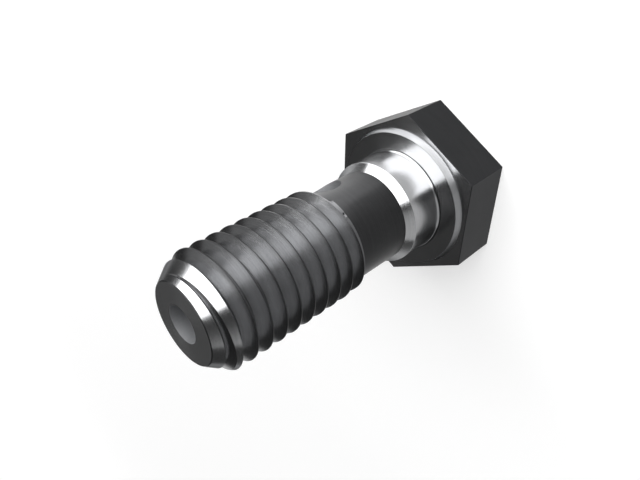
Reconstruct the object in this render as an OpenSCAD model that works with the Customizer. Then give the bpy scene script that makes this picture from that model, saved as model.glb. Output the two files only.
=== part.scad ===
// Banjo bolt: a hollow bolt that clamps a banjo fitting and carries fluid through its core.
// It stands on its head. +Z runs from the head to the tip, +X along the cross hole.
// Head, washer face, seat, neck and threaded end are turned from one bar, so it is one node.

/* [Head] */
// Distance across the flats of the hexagon
head_across_flats = 21; // [20:0.25:27]
// Height of the hexagon
head_height = 7.1; // [4:0.1:12]

/* [Washer face] */
// Diameter of the flat bearing face that presses on the sealing washer
bearing_d = 19.1; // [16:0.1:19.6]
// Diameter of the washer face where it leaves the hexagon
washer_face_d = 19.8; // [19.1:0.1:20]
// Height of the washer face on the hexagon
washer_face_height = 0.85; // [0.3:0.05:2]

/* [Seat] */
// Diameter of the seat that centres the eye of the fitting
seat_d = 14; // [13:0.1:15]
// Length from the bearing face to the far edge of the seat
seat_length = 4.8; // [2:0.1:6]
// Length of the chamfer that leads from the seat down to the neck
seat_chamfer_length = 0.95; // [0.4:0.05:1.5]
// Radius of the fillet between the seat and the bearing face
seat_fillet_r = 0.4; // [0.1:0.05:0.8]

/* [Neck] */
// Diameter of the relieved neck between the seat and the thread
neck_d = 12.25; // [10.5:0.05:12.8]
// Distance from the bearing face to the start of the thread
thread_start = 14.4; // [14:0.1:20]

/* [Thread] */
// Outer diameter of the thread
thread_d = 14; // [13:0.1:16]
// Pitch of the right-hand thread
thread_pitch = 2; // [1.5:0.05:2.5]
// Length from the start of the thread to the tip
thread_length = 20.3; // [12:0.1:30]
// Angle between the two flanks of the groove
thread_angle = 60; // [55:1:65]
// Width of the flat left on each crest
crest_flat = 0.12; // [0.06:0.01:0.3]
// Width of the flat in the root of the groove
root_flat = 0.08; // [0.04:0.01:0.3]
// Angle, counted from +X, at which a crest crosses the start of the thread
thread_start_angle = -130; // [-180:5:180]
// Angle from there along which the land at the shoulder stays whole before a groove runs in
thread_land_angle = 84; // [0:6:180]

/* [Tip] */
// Diameter of the flat face at the tip
tip_d = 9.9; // [8:0.1:11]
// Length of the cone that leads from the tip to the full thread
tip_cone_length = 2.65; // [1:0.05:5]

/* [Passages] */
// Diameter of the bore along the axis
bore_d = 4.6; // [3:0.1:6]
// Distance that the straight bore runs on past the far side of the cross hole
bore_overrun = 0.6; // [0.2:0.1:1.5]
// Point angle of the drill that made the bore
drill_point_angle = 118; // [90:2:140]
// Diameter of the hole through the neck
cross_hole_d = 4.6; // [3:0.1:6]
// Distance from the bearing face to the middle of the cross hole
cross_hole_distance = 11.15; // [9:0.05:11.3]

/* [Hidden] */
// Stations along the axis, counted from the top of the head
bearing_z = head_height + washer_face_height;
seat_end_z = bearing_z + seat_length;
neck_z = seat_end_z + seat_chamfer_length;
thread_z = bearing_z + thread_start;
tip_z = thread_z + thread_length;
tip_cone_z = tip_z - tip_cone_length;
cross_hole_z = bearing_z + cross_hole_distance;
bore_end_z = cross_hole_z - cross_hole_d / 2 - bore_overrun;

// Corners of the hexagon lie 30 degrees off the X axis, so two flats face along X
hexagon_sides = 6;
corner_angle = 180 / hexagon_sides;
head_corner_r = head_across_flats / 2 / cos(corner_angle);

// Where one solid is joined to the next, it reaches this far into it
joint_depth = 0.5;
// Cutters run this far past the face that they open
cut_margin = 1;

// The thread: V grooves with a narrow flat root, as deep as the pitch and the flats leave room for
thread_r = thread_d / 2;
flank_slope = tan(thread_angle / 2);
thread_depth = (thread_pitch - crest_flat - root_flat) / 2 / flank_slope;
thread_root_r = thread_r - thread_depth;
// One pitch of the profile, as radius and height from the middle of a crest
thread_profile = [
    [thread_r, -crest_flat / 2],
    [thread_r, crest_flat / 2],
    [thread_root_r, (thread_pitch - root_flat) / 2],
    [thread_root_r, (thread_pitch + root_flat) / 2]
];
profile_points = len(thread_profile);
steps_per_turn = 60;
step_angle = 360 / steps_per_turn;
// Whole turns are laid from below the shoulder to above the tip, and the blank trims them
spare_turns = 2;
turns = ceil(thread_length / thread_pitch) + 2 * spare_turns - 1;
rows = profile_points * turns + 1;
// The core reaches from the neck into the threaded end, inside the root of the thread
core_inset = 0.3;
core_r = min(thread_root_r, neck_d / 2) - core_inset;

fillet_steps = 6;
round_facets = 96;

// Points of the concave fillet, from the bearing face up to the wall of the seat
function fillet_points(wall_r, face_z, r) = [
    for (i = [0 : fillet_steps])
        let (a = 270 - 90 * i / fillet_steps)
            [wall_r + r + r * cos(a), face_z + r + r * sin(a)]
];

// Point of the thread surface at a step round the axis and a row up it. A groove is counted from
// one turn below the start of the thread, and it is not cut yet where the land stays whole.
function thread_point(step, row) =
    let (
        a = thread_start_angle + step * step_angle,
        p = thread_profile[row % profile_points],
        turn = floor(row / profile_points) - spare_turns + step / steps_per_turn,
        r = (turn + 1) * 360 > thread_land_angle ? p[0] : thread_r
    )
    [r * cos(a), r * sin(a), thread_z + turn * thread_pitch + p[1]];

// Place of that point in the list: a full turn on, the surface goes on one pitch higher
function thread_index(step, row) =
    step == steps_per_turn ? thread_index(0, row + profile_points)
    : row < rows ? step * rows + row
    : steps_per_turn * rows + row - rows;

// Edge of the surface at one row: once round, then back down the zigzag of one pitch
function thread_rim(row) = concat(
    [for (step = [0 : steps_per_turn]) thread_index(step, row)],
    [for (k = [profile_points - 1 : -1 : 1]) thread_index(0, row + k)]
);

// Triangles between a centre point and each edge of a rim
function cap_faces(rim, centre, up) = [
    for (i = [0 : len(rim) - 1])
        let (k = (i + 1) % len(rim))
            up ? [centre, rim[k], rim[i]] : [centre, rim[i], rim[k]]
];

module hexagon_head() {
    rotate([0, 0, corner_angle])
        cylinder(h = head_height, r = head_corner_r, $fn = hexagon_sides);
}

// Washer face, fillet, seat and neck in one revolved profile
module shank() {
    rotate_extrude($fn = round_facets)
        polygon(concat(
            [
                [0, head_height - joint_depth],
                [washer_face_d / 2, head_height - joint_depth],
                [washer_face_d / 2, head_height],
                [bearing_d / 2, bearing_z]
            ],
            fillet_points(seat_d / 2, bearing_z, seat_fillet_r),
            [
                [seat_d / 2, seat_end_z],
                [neck_d / 2, neck_z],
                [neck_d / 2, thread_z],
                [core_r, thread_z],
                [core_r, thread_z + joint_depth],
                [0, thread_z + joint_depth]
            ]
        ));
}

// Room for the threaded end: flat at the shoulder, with the cone at the tip
module thread_envelope() {
    cone_slope = (thread_r - tip_d / 2) / tip_cone_length;
    rotate_extrude($fn = round_facets)
        polygon([
            [0, thread_z],
            [thread_r + cut_margin, thread_z],
            [thread_r + cut_margin, tip_cone_z - cut_margin / cone_slope],
            [tip_d / 2, tip_z],
            [0, tip_z]
        ]);
}

// Helical thread and its core in one solid
module thread_rod() {
    low_centre = thread_z - spare_turns * thread_pitch + thread_pitch / 2;
    high_centre = low_centre + turns * thread_pitch;
    last = profile_points * turns;
    points = concat(
        [for (step = [0 : steps_per_turn - 1], row = [0 : rows - 1]) thread_point(step, row)],
        [for (k = [0 : profile_points - 1]) thread_point(0, rows + k)],
        [[0, 0, low_centre], [0, 0, high_centre]]
    );
    sides = [
        for (step = [0 : steps_per_turn - 1], row = [0 : last - 1], half = [0, 1])
            half == 0
            ? [thread_index(step, row), thread_index(step + 1, row + 1), thread_index(step + 1, row)]
            : [thread_index(step, row), thread_index(step, row + 1), thread_index(step + 1, row + 1)]
    ];
    polyhedron(
        points = points,
        faces = concat(
            sides,
            cap_faces(thread_rim(0), len(points) - 2, false),
            cap_faces(thread_rim(last), len(points) - 1, true)
        ),
        convexity = 10
    );
}

module threaded_end() {
    intersection() {
        thread_rod();
        thread_envelope();
    }
}

// Blind bore from the tip, ending in the cone that the drill leaves
module axial_bore() {
    point_length = bore_d / 2 / tan(drill_point_angle / 2);
    rotate_extrude($fn = round_facets)
        polygon([
            [0, bore_end_z - point_length],
            [bore_d / 2, bore_end_z],
            [bore_d / 2, tip_z + cut_margin],
            [0, tip_z + cut_margin]
        ]);
}

// Hole straight through the neck, which meets the bore at right angles
module cross_hole() {
    translate([0, 0, cross_hole_z])
        rotate([0, 90, 0])
            cylinder(h = neck_d + 2 * cut_margin, d = cross_hole_d, center = true, $fn = round_facets);
}

module banjo_bolt() {
    color([0.32, 0.33, 0.35])
        difference() {
            union() {
                hexagon_head();
                shank();
                threaded_end();
            }
            axial_bore();
            cross_hole();
        }
}

banjo_bolt();
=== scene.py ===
import math

import bpy
from mathutils import Matrix, Vector


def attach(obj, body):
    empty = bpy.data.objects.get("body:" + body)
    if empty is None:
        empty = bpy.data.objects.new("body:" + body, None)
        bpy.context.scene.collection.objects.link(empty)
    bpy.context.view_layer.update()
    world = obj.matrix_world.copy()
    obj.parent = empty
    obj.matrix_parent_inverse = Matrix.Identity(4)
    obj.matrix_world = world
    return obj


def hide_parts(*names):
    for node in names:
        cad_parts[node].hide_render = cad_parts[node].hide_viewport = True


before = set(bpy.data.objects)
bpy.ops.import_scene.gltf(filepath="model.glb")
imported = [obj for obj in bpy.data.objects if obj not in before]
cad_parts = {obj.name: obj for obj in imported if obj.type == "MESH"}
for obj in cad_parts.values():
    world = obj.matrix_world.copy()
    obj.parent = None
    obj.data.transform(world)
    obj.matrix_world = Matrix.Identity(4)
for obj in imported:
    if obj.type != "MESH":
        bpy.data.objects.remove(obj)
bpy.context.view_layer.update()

MM = 0.001
AXIS = Vector((0, 0, 1))

# Head, washer face, seat and neck: radii and heights of the turned profile
ACROSS_FLATS = 21.0 * MM
CORNER_R = ACROSS_FLATS / 2 / math.cos(math.radians(30))
HEAD_TOP = 7.1 * MM
WASHER_FOOT_R = 9.9 * MM
WASHER_R = 9.55 * MM
BEARING_Z = 7.95 * MM
SEAT_R = 7.0 * MM
SEAT_FILLET = 0.4 * MM
# Degrees by which the side of the washer face leans inwards
WASHER_LEAN = 22
SEAT_END = 12.75 * MM
NECK_R = 6.125 * MM
NECK_START = 13.7 * MM
SHOULDER_Z = 22.35 * MM
TIP_Z = 42.65 * MM

# Thread and tip
THREAD_R = 7.0 * MM
PITCH = 2.0 * MM
CREST_FLAT = 0.12 * MM
ROOT_FLAT = 0.08 * MM
FLANK_ANGLE = math.radians(30)
THREAD_DEPTH = (PITCH - CREST_FLAT - ROOT_FLAT) / 2 / math.tan(FLANK_ANGLE)
ROOT_R = THREAD_R - THREAD_DEPTH
THREAD_START_ANGLE = math.radians(-130)
TIP_R = 4.95 * MM
TIP_CONE = 2.65 * MM
TIP_SLOPE = (THREAD_R - TIP_R) / TIP_CONE

# Degrees on from the thread's start: the land at the shoulder is whole, but for one nick, up to where
# the groove runs in
NICK_FROM, NICK_TO = 59.0, 69.0
LAND_TO = 85.0
RUN_IN_TO = 92.0
# Share of the groove's depth that the nick reaches
NICK_DEPTH = 0.16

# Passages
BORE_R = 2.3 * MM
CROSS_Z = 19.1 * MM
BORE_END = 16.2 * MM
HALF_DRILL_ANGLE = math.radians(59)
DRILL_POINT = BORE_R / math.tan(HALF_DRILL_ANGLE)

# Steps round each form, the smallest angle that stays a sharp edge, and the width of a broken edge
ROUND_STEPS = 224
THREAD_STEPS = 144
BORE_STEPS = 96
FILLET_STEPS = 8
EDGE_STEPS = 2
SHARP_ANGLE = math.radians(12)
EDGE = 0.06 * MM
# How far one solid reaches into the next, how far the core lies inside the thread's root, and how far
# a cutter runs past the face that it opens
JOIN = 0.5 * MM
CORE_INSET = 0.3 * MM
MARGIN = 1.0 * MM
# Points closer than this are one, in metres: at a lathe seam, at a helix seam, and after the cuts
LATHE_WELD = 1e-8
HELIX_WELD = 1e-7
CUT_WELD = 0.002 * MM
# Points up to this far outside the root count as the root of the groove
ROOT_REACH = 0.1 * MM
# Whole turns of thread that are laid below the shoulder, and about as many above the tip
SPARE_TURNS = 2

# How far a face's normal leans along the axis: below the first it stands upright, above the second it
# is flat, and above the third it may lie on the tip cone
UPRIGHT_LEAN = 0.15
FLAT_LEAN = 0.99
CONE_LEAN = 0.3

# What the turning lines, the patches and the grain add to the shade, and how high they stand
LINE_SHARE = 0.5
PATCH_SHARE = 0.35
GRAIN_SHARE = 0.3
RELIEF_HEIGHT = 0.01 * MM

# The finishes of the steel: a dull and a bright shade, the lowest and highest roughness, how far the
# gleam is drawn across the turning lines, the share of it that is left where a surface turns away,
# and the relief
FINISHES = {
    "faced_steel": {
        "dull": (0.82, 0.825, 0.835), "bright": (0.92, 0.925, 0.935),
        "roughness": (0.17, 0.22), "drawn": 0.75,
    },
    "turned_steel": {
        "dull": (0.40, 0.404, 0.412), "bright": (0.48, 0.484, 0.492),
        "roughness": (0.2, 0.26), "drawn": 0.6, "rim": 0.2,
    },
    "seat_steel": {
        "dull": (0.29, 0.293, 0.3), "bright": (0.35, 0.353, 0.36),
        "roughness": (0.17, 0.22), "drawn": 0.6, "rim": 0.6,
    },
    "thread_steel": {
        "dull": (0.2, 0.202, 0.207), "bright": (0.31, 0.313, 0.32),
        "roughness": (0.21, 0.27), "drawn": 0.3, "rim": 0.7, "relief": 0.4,
    },
    "rim_steel": {
        "dull": (0.2, 0.203, 0.208), "bright": (0.26, 0.263, 0.27),
        "roughness": (0.3, 0.36), "drawn": 0.7, "rim": 0.1,
    },
    "land_steel": {
        "dull": (0.06, 0.061, 0.064), "bright": (0.1, 0.101, 0.104),
        "roughness": (0.3, 0.38), "drawn": 0.3, "rim": 0.7, "relief": 0.2,
    },
    "neck_steel": {
        "dull": (0.018, 0.0182, 0.019), "bright": (0.027, 0.0272, 0.028),
        "roughness": (0.3, 0.36), "drawn": 0.6, "rim": 0.82,
    },
    "hexagon_steel": {
        "dull": (0.025, 0.0255, 0.027), "bright": (0.033, 0.0335, 0.035),
        "roughness": (0.3, 0.36), "rim": 0.7, "relief": 0.0,
    },
    "cut_steel": {
        "dull": (0.23, 0.234, 0.242), "bright": (0.29, 0.295, 0.305),
        "roughness": (0.7, 0.8), "relief": 0.2,
    },
}

# The photograph's camera: above the bolt on its tip side, rolled so that the tip points down and left
CAMERA_PLACE = Vector((15.360, -55.645, 63.347)) * MM
CAMERA_LOOK = Vector((-0.21089, 0.78787, -0.57861))
CAMERA_ROLL = math.radians(-119.98)
CAMERA_LENS = 32.4835
SENSOR_WIDTH = 36

# The floor's width, and the distances from the bolt between which its glow grows, in metres
FLOOR_SIZE = 12
GLOW_FROM, GLOW_TO = 0.08, 0.6
# Light of the studio where nothing is set up
STUDIO_LEVEL = 0.062
# The two tall panels on the camera's side, which meet at their edges
KEY_PANEL = {"distance": 0.36, "middle": 0.315, "width": 0.375, "height": 0.61, "radiance": 4.2}


def deselect_all():
    if bpy.context.mode != "OBJECT":
        bpy.ops.object.mode_set(mode="OBJECT")
    bpy.ops.object.select_all(action="DESELECT")


def pick(piece):
    """Makes one piece the selected and active one."""
    deselect_all()
    piece.select_set(True)
    bpy.context.view_layer.objects.active = piece


def settle(piece):
    """Puts a piece's place, turn and scale into its mesh."""
    pick(piece)
    bpy.ops.object.transform_apply(location=True, rotation=True, scale=True)
    return piece


def apply_modifiers(piece):
    pick(piece)
    for modifier in list(piece.modifiers):
        bpy.ops.object.modifier_apply(modifier=modifier.name)
    return piece


def face_outwards(piece):
    """Merges doubled points and turns every face outwards."""
    pick(piece)
    bpy.ops.object.mode_set(mode="EDIT")
    bpy.ops.mesh.select_all(action="SELECT")
    bpy.ops.mesh.remove_doubles(threshold=LATHE_WELD)
    bpy.ops.mesh.normals_make_consistent(inside=False)
    bpy.ops.object.mode_set(mode="OBJECT")
    return piece


def draw_line(name, points):
    """A profile line in the XZ plane, drawn point by point from one vertex by extruding."""
    deselect_all()
    bpy.ops.mesh.primitive_plane_add(size=MARGIN, location=(0, 0, 0))
    line = bpy.context.object
    line.name = name
    bpy.ops.object.mode_set(mode="EDIT")
    bpy.ops.mesh.select_all(action="SELECT")
    bpy.ops.mesh.merge(type="CENTER")
    first = Vector((points[0][0], 0, points[0][1]))
    bpy.ops.transform.translate(value=first)
    for (r0, z0), (r1, z1) in zip(points, points[1:]):
        bpy.ops.mesh.extrude_region_move(TRANSFORM_OT_translate={"value": (r1 - r0, 0, z1 - z0)})
    bpy.ops.object.mode_set(mode="OBJECT")
    return line


def turn_on_lathe(name, points, steps=ROUND_STEPS):
    """A solid of revolution about the bolt's axis from a profile that starts and ends on it."""
    solid = draw_line(name, points)
    pick(solid)
    bpy.ops.object.mode_set(mode="EDIT")
    bpy.ops.mesh.select_all(action="SELECT")
    bpy.ops.mesh.spin(
        steps=steps, angle=math.tau, center=(0, 0, 0), axis=AXIS, use_auto_merge=True
    )
    bpy.ops.object.mode_set(mode="OBJECT")
    return face_outwards(solid)


def arc(centre, radius, start, end, steps):
    """Points of an arc in the profile plane, angles in degrees."""
    angles = [math.radians(start + (end - start) * i / steps) for i in range(steps + 1)]
    return [(centre[0] + radius * math.cos(a), centre[1] + radius * math.sin(a)) for a in angles]


def combine(body, tool, operation):
    """Joins, cuts or intersects the body with a tool, which is used up."""
    modifier = body.modifiers.new(operation.lower(), "BOOLEAN")
    modifier.operation = operation
    modifier.solver = "EXACT"
    modifier.object = tool
    apply_modifiers(body)
    bpy.data.objects.remove(tool, do_unlink=True)
    return body


def make_head():
    """The hexagon, with its edges just broken."""
    deselect_all()
    bpy.ops.mesh.primitive_cylinder_add(
        vertices=6, radius=CORNER_R, depth=HEAD_TOP, location=(0, 0, HEAD_TOP / 2)
    )
    head = bpy.context.object
    head.name = "hexagon"
    settle(head)
    bpy.ops.object.mode_set(mode="EDIT")
    bpy.ops.mesh.select_all(action="SELECT")
    bpy.ops.mesh.bevel(offset=EDGE, segments=EDGE_STEPS, profile=0.5, affect="EDGES")
    bpy.ops.object.mode_set(mode="OBJECT")
    return head


def make_shank():
    """Washer face, fillet, seat, chamfer and neck."""
    core_r = ROOT_R - CORE_INSET
    profile = [(0, HEAD_TOP - JOIN), (WASHER_FOOT_R, HEAD_TOP - JOIN), (WASHER_FOOT_R, HEAD_TOP)]
    profile += arc((WASHER_R - EDGE, BEARING_Z - EDGE), EDGE, WASHER_LEAN, 90, EDGE_STEPS)
    fillet_centre = (SEAT_R + SEAT_FILLET, BEARING_Z + SEAT_FILLET)
    profile += arc(fillet_centre, SEAT_FILLET, 270, 180, FILLET_STEPS)
    profile += [(SEAT_R, SEAT_END - EDGE), (SEAT_R - EDGE / 4, SEAT_END)]
    profile += [(NECK_R, NECK_START), (NECK_R, SHOULDER_Z), (core_r, SHOULDER_Z)]
    profile += [(core_r, SHOULDER_Z + JOIN), (0, SHOULDER_Z + JOIN)]
    return turn_on_lathe("shank", profile)


def make_thread():
    """The helical thread as one solid, trimmed by the shoulder and the tip cone."""
    turns = math.ceil((TIP_Z - SHOULDER_Z) / PITCH) + 2 * SPARE_TURNS - 1
    low = SHOULDER_Z - SPARE_TURNS * PITCH
    turn = [(THREAD_R, -CREST_FLAT / 2), (THREAD_R, CREST_FLAT / 2)]
    turn += [(ROOT_R, (PITCH - ROOT_FLAT) / 2), (ROOT_R, (PITCH + ROOT_FLAT) / 2)]
    pitch_line = [(r, low + z) for r, z in turn] + [(THREAD_R, low + PITCH - CREST_FLAT / 2)]
    rod = draw_line("thread", pitch_line)
    rod.rotation_euler = (0, 0, THREAD_START_ANGLE)
    settle(rod)
    helix = rod.modifiers.new("helix", "SCREW")
    helix.axis = "Z"
    helix.angle = math.tau
    helix.screw_offset = PITCH
    helix.iterations = turns
    helix.steps = THREAD_STEPS
    helix.render_steps = THREAD_STEPS
    helix.use_merge_vertices = True
    helix.merge_threshold = HELIX_WELD
    apply_modifiers(rod)
    bpy.ops.object.mode_set(mode="EDIT")
    bpy.ops.mesh.select_all(action="SELECT")
    bpy.ops.mesh.remove_doubles(threshold=HELIX_WELD)
    bpy.ops.object.mode_set(mode="OBJECT")
    fill_first_groove(rod)
    close_end(rod, low + PITCH / 2, lowest=True)
    close_end(rod, low + PITCH / 2 + turns * PITCH, lowest=False)
    face_outwards(rod)
    envelope = turn_on_lathe(
        "tip_envelope",
        [
            (0, SHOULDER_Z),
            (THREAD_R + MARGIN, SHOULDER_Z),
            (THREAD_R + MARGIN, TIP_Z - TIP_CONE - MARGIN / TIP_SLOPE),
            (TIP_R + EDGE, TIP_Z - EDGE / TIP_SLOPE),
            (TIP_R - EDGE, TIP_Z),
            (0, TIP_Z),
        ],
    )
    return combine(rod, envelope, "INTERSECT")


def groove_share(angle):
    """How much of its full depth the groove has, by its angle on from the thread's start."""
    if angle > RUN_IN_TO:
        return 1.0
    if angle > LAND_TO:
        return (angle - LAND_TO) / (RUN_IN_TO - LAND_TO)
    if NICK_FROM < angle < NICK_TO:
        return NICK_DEPTH * (angle - NICK_FROM) / (NICK_TO - NICK_FROM)
    return 0.0


def fill_first_groove(rod):
    """Moves the root of the groove out to the land, from below the shoulder to where it runs in."""
    shares = {}
    for point in rod.data.vertices:
        if math.hypot(point.co.x, point.co.y) > ROOT_R + ROOT_REACH:
            continue
        around = (math.atan2(point.co.y, point.co.x) - THREAD_START_ANGLE) / math.tau
        climbed = (point.co.z - PITCH / 2 - SHOULDER_Z) / PITCH
        turn = round(climbed - around) + around
        share = round(groove_share((turn + 1) * 360), 6)
        if share < 1:
            shares.setdefault(share, []).append(point.index)
    for share, indices in shares.items():
        pick(rod)
        bpy.ops.object.mode_set(mode="EDIT")
        bpy.ops.mesh.select_mode(type="VERT")
        bpy.ops.mesh.select_all(action="DESELECT")
        bpy.ops.object.mode_set(mode="OBJECT")
        for index in indices:
            rod.data.vertices[index].select = True
        bpy.ops.object.mode_set(mode="EDIT")
        size = (THREAD_R - share * THREAD_DEPTH) / ROOT_R
        bpy.ops.transform.resize(value=(size, size, 1), center_override=(0, 0, 0))
        bpy.ops.object.mode_set(mode="OBJECT")


def close_end(rod, centre_z, lowest):
    """Closes one end of the helical skin: extrudes its rim and draws it to a point on the axis."""
    pick(rod)
    bpy.ops.object.mode_set(mode="EDIT")
    bpy.ops.mesh.select_mode(type="VERT")
    bpy.ops.mesh.select_all(action="DESELECT")
    bpy.ops.mesh.select_non_manifold(
        extend=False, use_wire=False, use_boundary=True, use_multi_face=False,
        use_non_contiguous=False, use_verts=False,
    )
    bpy.ops.object.mode_set(mode="OBJECT")
    middle = (SHOULDER_Z + TIP_Z) / 2
    points = rod.data.vertices
    for edge in rod.data.edges:
        edge.select = edge.select and (points[edge.vertices[0]].co.z < middle) == lowest
    for point in points:
        point.select = point.select and (point.co.z < middle) == lowest
    bpy.ops.object.mode_set(mode="EDIT")
    bpy.ops.mesh.extrude_region_move()
    bpy.ops.mesh.merge(type="CENTER")
    bpy.ops.object.mode_set(mode="OBJECT")
    centre = next(point for point in rod.data.vertices if point.select)
    centre.co = (0, 0, centre_z)


def make_bolt():
    """The whole bolt: head, shank and thread joined, then drilled along and across."""
    bolt = make_head()
    combine(bolt, make_shank(), "UNION")
    combine(bolt, make_thread(), "UNION")
    bore = turn_on_lathe(
        "bore",
        [
            (0, BORE_END - DRILL_POINT),
            (BORE_R, BORE_END),
            (BORE_R, TIP_Z + MARGIN),
            (0, TIP_Z + MARGIN),
        ],
        BORE_STEPS,
    )
    combine(bolt, bore, "DIFFERENCE")
    deselect_all()
    bpy.ops.mesh.primitive_cylinder_add(
        vertices=BORE_STEPS, radius=BORE_R, depth=2 * (NECK_R + MARGIN),
        location=(0, 0, CROSS_Z), rotation=(0, math.radians(90), 0),
    )
    cross_drill = settle(bpy.context.object)
    combine(bolt, cross_drill, "DIFFERENCE")
    bolt.name = "hollow_bolt"
    pick(bolt)
    bpy.ops.object.mode_set(mode="EDIT")
    bpy.ops.mesh.select_all(action="SELECT")
    bpy.ops.mesh.remove_doubles(threshold=CUT_WELD)
    bpy.ops.mesh.dissolve_degenerate(threshold=CUT_WELD)
    bpy.ops.object.mode_set(mode="OBJECT")
    bpy.ops.object.shade_smooth_by_angle(angle=SHARP_ANGLE)
    even = bolt.modifiers.new("even_shading", "WEIGHTED_NORMAL")
    even.mode = "FACE_AREA"
    even.keep_sharp = True
    return apply_modifiers(bolt)


def node(tree, kind, place, **values):
    made = tree.nodes.new(kind)
    made.location = place
    for name, value in values.items():
        setattr(made, name, value)
    return made


def wire(tree, start, end):
    tree.links.new(start, end)


def maths(tree, place, operation, first, second):
    """A Math node on two sockets or numbers."""
    made = node(tree, "ShaderNodeMath", place, operation=operation)
    for slot, value in enumerate((first, second)):
        if isinstance(value, (int, float)):
            made.inputs[slot].default_value = value
        else:
            wire(tree, value, made.inputs[slot])
    return made.outputs[0]


def new_group(name, inputs, outputs):
    """An empty node group with number inputs and outputs."""
    group = bpy.data.node_groups.new(name, "ShaderNodeTree")
    for label, value in inputs.items():
        socket = group.interface.new_socket(label, in_out="INPUT", socket_type="NodeSocketFloat")
        socket.default_value = value
    for label in outputs:
        group.interface.new_socket(label, in_out="OUTPUT", socket_type="NodeSocketFloat")
    return group, node(group, "NodeGroupInput", (-900, 0)), node(group, "NodeGroupOutput", (900, 0))


def make_turning_lines():
    """Fine lines round the bolt's axis, as the lathe tool leaves them on every turned surface."""
    group, given, result = new_group("turning_lines", {"Lines per mm": 6.0, "Sway": 60.0}, ["Lines"])
    place = node(group, "ShaderNodeTexCoord", (-900, 300))
    split = node(group, "ShaderNodeSeparateXYZ", (-700, 300))
    wire(group, place.outputs["Object"], split.inputs[0])
    flat = node(group, "ShaderNodeCombineXYZ", (-500, 400))
    wire(group, split.outputs["X"], flat.inputs["X"])
    wire(group, split.outputs["Y"], flat.inputs["Y"])
    radius = node(group, "ShaderNodeVectorMath", (-300, 400), operation="LENGTH")
    wire(group, flat.outputs[0], radius.inputs[0])
    along = maths(group, (-100, 300), "SUBTRACT", split.outputs["Z"], radius.outputs["Value"])
    per_metre = maths(group, (-300, 0), "MULTIPLY", given.outputs["Lines per mm"], 1 / MM)
    count = maths(group, (100, 300), "MULTIPLY", along, per_metre)
    swayed = node(group, "ShaderNodeVectorMath", (-100, 100), operation="SCALE")
    wire(group, flat.outputs[0], swayed.inputs[0])
    wire(group, given.outputs["Sway"], swayed.inputs["Scale"])
    lift = node(group, "ShaderNodeCombineXYZ", (300, 300))
    wire(group, count, lift.inputs["Z"])
    spot = node(group, "ShaderNodeVectorMath", (500, 200), operation="ADD")
    wire(group, swayed.outputs[0], spot.inputs[0])
    wire(group, lift.outputs[0], spot.inputs[1])
    noise = node(group, "ShaderNodeTexNoise", (700, 200))
    noise.inputs["Scale"].default_value = 1.0
    noise.inputs["Detail"].default_value = 3.0
    noise.inputs["Roughness"].default_value = 0.6
    wire(group, spot.outputs[0], noise.inputs["Vector"])
    wire(group, noise.outputs["Fac"], result.inputs["Lines"])
    return group


def make_clouding():
    """Soft patches and a fine grain, as oil and handling leave on steel."""
    group, given, result = new_group(
        "clouding", {"Patches per mm": 0.25, "Grains per mm": 5.0}, ["Patches", "Grain"]
    )
    place = node(group, "ShaderNodeTexCoord", (-900, 300))
    parts = (("Patches", "Patches per mm", 200), ("Grain", "Grains per mm", -200))
    for label, source, height in parts:
        scale = maths(group, (-500, height), "MULTIPLY", given.outputs[source], 1 / MM)
        noise = node(group, "ShaderNodeTexNoise", (-200, height))
        noise.inputs["Detail"].default_value = 3.0
        wire(group, place.outputs["Object"], noise.inputs["Vector"])
        wire(group, scale, noise.inputs["Scale"])
        wire(group, noise.outputs["Fac"], result.inputs[label])
    return group


def spread(tree, place, value, low, high, contrast=0.2):
    """Spreads a noise value round its middle over a range."""
    made = node(tree, "ShaderNodeMapRange", place)
    made.inputs["From Min"].default_value = 0.5 - contrast
    made.inputs["From Max"].default_value = 0.5 + contrast
    made.inputs["To Min"].default_value = low
    made.inputs["To Max"].default_value = high
    wire(tree, value, made.inputs["Value"])
    return made.outputs[0]


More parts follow.
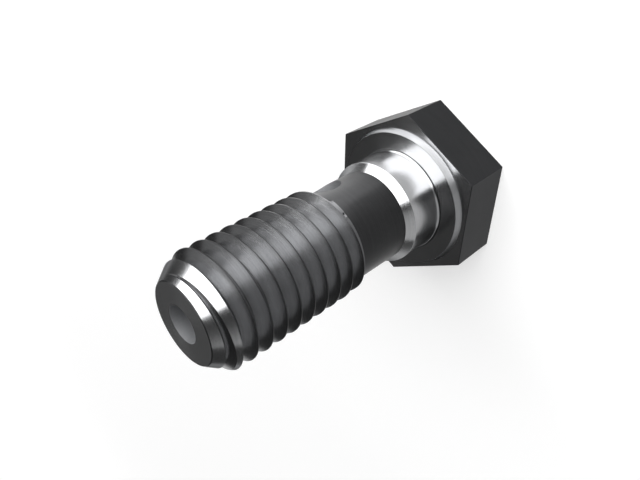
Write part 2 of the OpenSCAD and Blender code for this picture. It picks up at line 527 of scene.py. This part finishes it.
def make_steel(name, groups, dull, bright, roughness, drawn=0.0, rim=1.0, relief=0.1):
    """One finish of the steel, which varies with the turning lines, the patches and the grain."""
    steel = bpy.data.materials.new(name)
    steel.use_nodes = True
    tree = steel.node_tree
    shader = tree.nodes["Principled BSDF"]
    turning = node(tree, "ShaderNodeGroup", (-900, 200), node_tree=groups["turning_lines"])
    clouding = node(tree, "ShaderNodeGroup", (-900, -100), node_tree=groups["clouding"])
    line_share = spread(tree, (-650, 250), turning.outputs["Lines"], 0.0, LINE_SHARE)
    patch_share = spread(tree, (-650, 0), clouding.outputs["Patches"], 0.0, PATCH_SHARE)
    grain_share = spread(tree, (-650, -250), clouding.outputs["Grain"], 0.0, GRAIN_SHARE)
    first = maths(tree, (-450, 150), "ADD", line_share, patch_share)
    shade = maths(tree, (-300, 150), "ADD", first, grain_share)
    colour = node(tree, "ShaderNodeMix", (-150, 250), data_type="RGBA")
    colour.inputs["A"].default_value = (*dull, 1)
    colour.inputs["B"].default_value = (*bright, 1)
    wire(tree, shade, colour.inputs["Factor"])
    wire(tree, colour.outputs["Result"], shader.inputs["Base Color"])
    gloss = spread(tree, (-150, 0), clouding.outputs["Patches"], *roughness)
    wire(tree, gloss, shader.inputs["Roughness"])
    shader.inputs["Metallic"].default_value = 1.0
    shader.inputs["Specular Tint"].default_value = (rim, rim, rim, 1)
    shader.inputs["Anisotropic"].default_value = drawn
    shader.inputs["Anisotropic Rotation"].default_value = 0.25
    place = node(tree, "ShaderNodeTexCoord", (-900, -500))
    around = node(tree, "ShaderNodeVectorMath", (-700, -500), operation="CROSS_PRODUCT")
    around.inputs[1].default_value = -AXIS
    wire(tree, place.outputs["Object"], around.inputs[0])
    turned = node(
        tree, "ShaderNodeVectorTransform", (-450, -500),
        vector_type="VECTOR", convert_from="OBJECT", convert_to="WORLD",
    )
    wire(tree, around.outputs[0], turned.inputs[0])
    wire(tree, turned.outputs[0], shader.inputs["Tangent"])
    bump = node(tree, "ShaderNodeBump", (-150, -250))
    bump.inputs["Strength"].default_value = relief
    bump.inputs["Distance"].default_value = RELIEF_HEIGHT
    wire(tree, shade, bump.inputs["Height"])
    wire(tree, bump.outputs["Normal"], shader.inputs["Normal"])
    return steel


def finish_bolt(bolt):
    """Gives each face of the bolt the finish of its place."""
    groups = {"turning_lines": make_turning_lines(), "clouding": make_clouding()}
    bolt.data.materials.clear()
    for name, finish in FINISHES.items():
        bolt.data.materials.append(make_steel(name, groups, **finish))
    names = list(FINISHES)
    for face in bolt.data.polygons:
        face.material_index = names.index(finish_of(face))


def finish_of(face):
    """The finish of a face, by its place and lean."""
    radius = math.hypot(face.center.x, face.center.y)
    upright = abs(face.normal.z) < UPRIGHT_LEAN
    flat = abs(face.normal.z) > FLAT_LEAN
    inward = face.normal.x * face.center.x + face.normal.y * face.center.y < 0
    if face.center.z < HEAD_TOP - EDGE / 4 or (radius > WASHER_FOOT_R and not flat):
        return "hexagon_steel"
    if (inward and radius < BORE_R + EDGE) or is_cross_hole(face, radius):
        return "cut_steel"
    if flat and (face.center.z < BEARING_Z + EDGE or face.center.z > TIP_Z - EDGE):
        return "faced_steel"
    if face.center.z < BEARING_Z:
        return "rim_steel"
    if face.center.z < SEAT_END - EDGE / 2:
        return "seat_steel"
    if upright and face.center.z > SEAT_END:
        on_land = SHOULDER_Z < face.center.z < SHOULDER_Z + PITCH / 2
        return "land_steel" if on_land else "neck_steel"
    if face.center.z > SHOULDER_Z and not is_tip_cone(face, radius):
        return "thread_steel"
    return "turned_steel"


def is_tip_cone(face, radius):
    """Whether a face lies on the tip cone, and not in the groove that runs out over it."""
    on_cone = TIP_R + (TIP_Z - face.center.z) * TIP_SLOPE
    return abs(radius - on_cone) < EDGE / 2 and face.normal.z > CONE_LEAN


def is_cross_hole(face, radius):
    """Whether a face lies in the cross hole, and not on the neck round it."""
    beside = math.hypot(face.center.y, face.center.z - CROSS_Z)
    return beside < BORE_R + EDGE / 4 and radius < NECK_R - EDGE / 4


def make_paper(name, colour, near_glow, far_glow):
    """White paper that shows white to the camera and in the steel, and keeps a shadow near the bolt.
    Its glow makes up for the light that it gets less of further out."""
    paper = bpy.data.materials.new(name)
    paper.use_nodes = True
    tree = paper.node_tree
    tree.nodes.clear()
    output = node(tree, "ShaderNodeOutputMaterial", (600, 0))
    add = node(tree, "ShaderNodeAddShader", (400, 0))
    diffuse = node(tree, "ShaderNodeBsdfDiffuse", (100, 100))
    diffuse.inputs["Color"].default_value = (colour, colour, colour, 1)
    glow = node(tree, "ShaderNodeEmission", (100, -100))
    rays = node(tree, "ShaderNodeLightPath", (-500, -100)).outputs
    mirrored = maths(tree, (-300, -100), "MAXIMUM", rays["Is Camera Ray"], rays["Is Glossy Ray"])
    seen = maths(tree, (-100, -100), "MAXIMUM", mirrored, rays["Is Transmission Ray"])
    place = node(tree, "ShaderNodeTexCoord", (-900, -400))
    distance = node(tree, "ShaderNodeVectorMath", (-700, -400), operation="LENGTH")
    wire(tree, place.outputs["Object"], distance.inputs[0])
    level = node(tree, "ShaderNodeMapRange", (-500, -400))
    level.inputs["From Min"].default_value = GLOW_FROM
    level.inputs["From Max"].default_value = GLOW_TO
    level.inputs["To Min"].default_value = near_glow
    level.inputs["To Max"].default_value = far_glow
    wire(tree, distance.outputs["Value"], level.inputs["Value"])
    wire(tree, maths(tree, (0, -300), "MULTIPLY", seen, level.outputs[0]), glow.inputs["Strength"])
    wire(tree, diffuse.outputs[0], add.inputs[0])
    wire(tree, glow.outputs[0], add.inputs[1])
    wire(tree, add.outputs[0], output.inputs["Surface"])
    return paper


def make_floor():
    """A white floor that runs to the horizon."""
    deselect_all()
    bpy.ops.mesh.primitive_plane_add(size=FLOOR_SIZE, location=(0, 0, 0))
    floor = bpy.context.object
    floor.name = "floor"
    floor.data.materials.append(make_paper("floor_paper", colour=0.52, near_glow=0.54, far_glow=1.0))


def make_camera():
    """The photograph's camera."""
    data = bpy.data.cameras.new("camera")
    data.sensor_width = SENSOR_WIDTH
    data.lens = CAMERA_LENS
    data.clip_start = 5 * MM
    camera = bpy.data.objects.new("camera", data)
    bpy.context.scene.collection.objects.link(camera)
    level = CAMERA_LOOK.normalized().to_track_quat("-Z", "Y").to_matrix().to_4x4()
    roll = Matrix.Rotation(CAMERA_ROLL, 4, "Z")
    camera.matrix_world = Matrix.Translation(CAMERA_PLACE) @ level @ roll
    bpy.context.scene.camera = camera


def softbox(name, azimuth, distance, middle, width, height, radiance, lean=0):
    """An area lamp round the bolt, with its middle at a height and leaning down by some degrees.
    One that leans by -90 lies on the floor and shines up, with its width along X. Radiance 1 looks
    as bright as white paper."""
    data = bpy.data.lights.new(name, "AREA")
    data.shape = "RECTANGLE"
    data.size = width
    data.size_y = height
    data.energy = radiance * math.pi * width * height
    lamp = bpy.data.objects.new(name, data)
    lamp.visible_camera = False
    bpy.context.scene.collection.objects.link(lamp)
    a, e = math.radians(azimuth), math.radians(lean)
    way = Vector((math.cos(a) * math.cos(e), math.sin(a) * math.cos(e), math.sin(e)))
    centre = Vector((math.cos(a) * distance, math.sin(a) * distance, middle))
    turn = (-way).to_track_quat("-Z", "Y").to_matrix().to_4x4()
    lamp.matrix_world = Matrix.Translation(centre) @ turn


def make_world(level):
    """A dim studio that pales to white just above the horizon."""
    world = bpy.data.worlds.new("studio")
    world.use_nodes = True
    tree = world.node_tree
    background = tree.nodes["Background"]
    place = node(tree, "ShaderNodeTexCoord", (-700, 0))
    split = node(tree, "ShaderNodeSeparateXYZ", (-500, 0))
    wire(tree, place.outputs["Generated"], split.inputs[0])
    strength = node(tree, "ShaderNodeValToRGB", (-300, 0))
    wire(tree, split.outputs["Z"], strength.inputs[0])
    stops = strength.color_ramp.elements
    for stop, (height, share) in zip((stops[0], stops[1]), ((0.01, 1.0), (1.0, level / 2))):
        stop.position = height
        stop.color = (share, share, share, 1)
    for height, share in ((0.1, level), (0.35, level), (0.7, level / 2)):
        stops.new(height).color = (share, share, share, 1)
    background.inputs["Color"].default_value = (1, 1, 1, 1)
    wire(tree, strength.outputs[0], background.inputs["Strength"])
    bpy.context.scene.world = world


bolt = make_bolt()
finish_bolt(bolt)
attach(bolt, "root")
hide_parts("banjo_bolt")

make_floor()
make_camera()
make_world(STUDIO_LEVEL)
softbox("key_front", azimuth=-61, **KEY_PANEL)
softbox("key_side", azimuth=-6, **KEY_PANEL)
softbox(
    "low_front", azimuth=-38, distance=0.085, middle=0.001, width=0.08, height=0.08,
    lean=-90, radiance=4.5,
)
softbox(
    "low_side", azimuth=14, distance=0.035, middle=0.001, width=0.026, height=0.048,
    lean=-90, radiance=4.8,
)
softbox("left", azimuth=-137, distance=0.4, middle=0.19, width=0.5, height=0.3, radiance=0.62)
softbox("fill", azimuth=45, distance=0.3, middle=0.36, width=0.3, height=0.35, lean=45, radiance=0.3)
softbox("top", azimuth=15, distance=0.08, middle=0.45, width=0.22, height=0.22, lean=80, radiance=0.5)
bpy.context.scene.view_settings.view_transform = "Standard"
